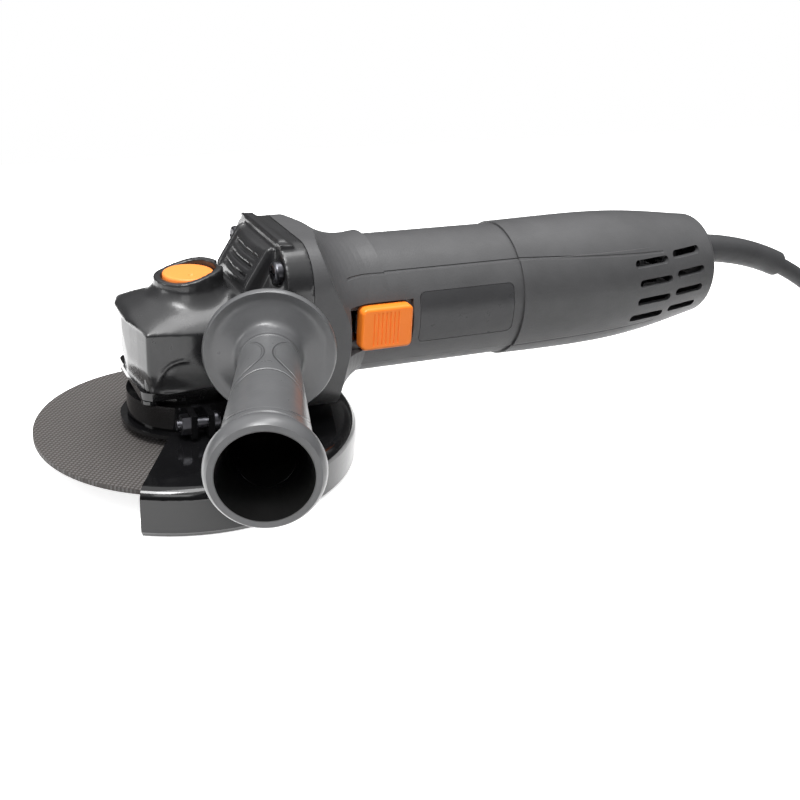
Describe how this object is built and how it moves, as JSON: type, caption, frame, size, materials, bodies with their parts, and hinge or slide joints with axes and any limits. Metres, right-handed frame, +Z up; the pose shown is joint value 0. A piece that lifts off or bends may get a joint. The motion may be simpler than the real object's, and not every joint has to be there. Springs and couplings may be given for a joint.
{
  "type": "angle grinder",
  "caption": "Corded angle grinder with a cutting disc, turning guard, side handle, slide switch and spindle lock, built as separate working pieces.",
  "frame": {"origin": "the free tip of the spindle, on the spindle axis", "axes": "+Z up along the spindle, away from the disc; +X along the motor to the tail; the side handle points to -Y"},
  "size_m": [0.5505, 0.2578, 0.0899],
  "materials": {
    "head_cast": "satin black paint on a cast head",
    "casing_plastic": "fine-grained moulded plastic",
    "boss_aluminium": "cast, dull",
    "switch_orange": "satin",
    "lock_orange": "satin",
    "guard_black": "gloss black paint",
    "dark_screw": "blackened",
    "zinc_steel": "zinc plated",
    "spring_steel": "drawn wire",
    "spindle_steel": "ground",
    "gear_steel": "hardened, oiled",
    "bearing_steel": "ground and sealed",
    "bush_bronze": "sintered",
    "flange_steel": "turned, zinc plated",
    "disc_abrasive": "resin-bonded grit and glass weave",
    "lamination_steel": "stacked sheet",
    "copper": "enamelled copper",
    "holder_brass": "pressed",
    "carbon": "graphite",
    "fan_plastic": "moulded",
    "label_grey": "printed foil, plain",
    "rod_plastic": "moulded",
    "switch_black": "moulded",
    "wire_sleeve": "PVC sleeve",
    "boot_rubber": "smooth",
    "cord_rubber": "smooth jacket",
    "plug_black": "moulded",
    "pin_nickel": "nickel plated",
    "handle_plastic": "satin, smooth"
  },
  "bodies": {
    "housing": {"gear_housing": "head_cast", "field_case": "casing_plastic", "tail_cover": "casing_plastic", "bearing_box": "boss_aluminium", "gear_housing_screws": "dark_screw", "tail_cover_screw": "dark_screw", "bearing_box_screws": "zinc_steel", "cord_clamp_screws": "zinc_steel", "lock_spring": "spring_steel", "brush_springs": "spring_steel", "handle_stud": "spindle_steel", "spindle_bearing": "bearing_steel", "front_bearing": "bearing_steel", "rear_bearing": "bearing_steel", "spindle_top_bush": "bush_bronze", "stator_core": "lamination_steel", "field_coils": "copper", "brush_holders": "holder_brass", "carbon_brushes": "carbon", "fan_baffle": "fan_plastic", "label_plate": "label_grey", "cord_clamp": "rod_plastic", "switch_body": "switch_black", "capacitor": "switch_black", "internal_leads": "wire_sleeve", "cord_boot": "boot_rubber", "cord_inner": "cord_rubber", "cord_lead": "cord_rubber", "cord_coil": "cord_rubber", "cord_end": "cord_rubber", "plug_body": "plug_black", "plug_pins": "pin_nickel", "side_handle": "handle_plastic"},
    "spindle": {"spindle": "spindle_steel", "crown_gear": "gear_steel", "inner_flange": "flange_steel", "cutting_disc": "disc_abrasive", "lock_nut": "flange_steel"},
    "armature": {"armature_shaft": "spindle_steel", "armature_core": "lamination_steel", "armature_winding": "copper", "commutator": "copper", "cooling_fan": "fan_plastic", "pinion": "gear_steel", "pinion_nut": "zinc_steel"},
    "lock_button": {"lock_button": "lock_orange", "lock_pin": "spindle_steel", "lock_pin_clip": "zinc_steel"},
    "slide_switch": {"slide_button": "switch_orange", "switch_rod": "rod_plastic"},
    "guard": {"guard": "guard_black", "guard_band": "guard_black", "guard_clamp_screw": "zinc_steel", "guard_clamp_nut": "zinc_steel"}
  },
  "joints": [
    {"name": "spindle_spin", "type": "hinge", "parent": "housing", "child": "spindle", "pos_m": [0, 0, 0.0128], "axis": [0, 0, 1], "continuous": true},
    {"name": "armature_spin", "type": "hinge", "parent": "housing", "child": "armature", "pos_m": [0.09, 0, 0.0546], "axis": [1, 0, 0], "continuous": true},
    {"name": "lock_press", "type": "slide", "parent": "housing", "child": "lock_button", "axis": [0, 0, -1], "range_m": [0, 0.0035], "stiffness_N_per_m": 900, "springref_m": -0.002, "deforming": ["lock_spring"]},
    {"name": "switch_slide", "type": "slide", "parent": "housing", "child": "slide_switch", "axis": [-1, 0, 0], "range_m": [0, 0.005]},
    {"name": "guard_turn", "type": "hinge", "parent": "housing", "child": "guard", "pos_m": [0, 0, 0.0228], "axis": [0, 0, 1], "range_deg": [-60, 110]}
  ],
  "couplings": [
    {"joint": "armature_spin", "follows": "spindle_spin", "ratio": 3}
  ]
}
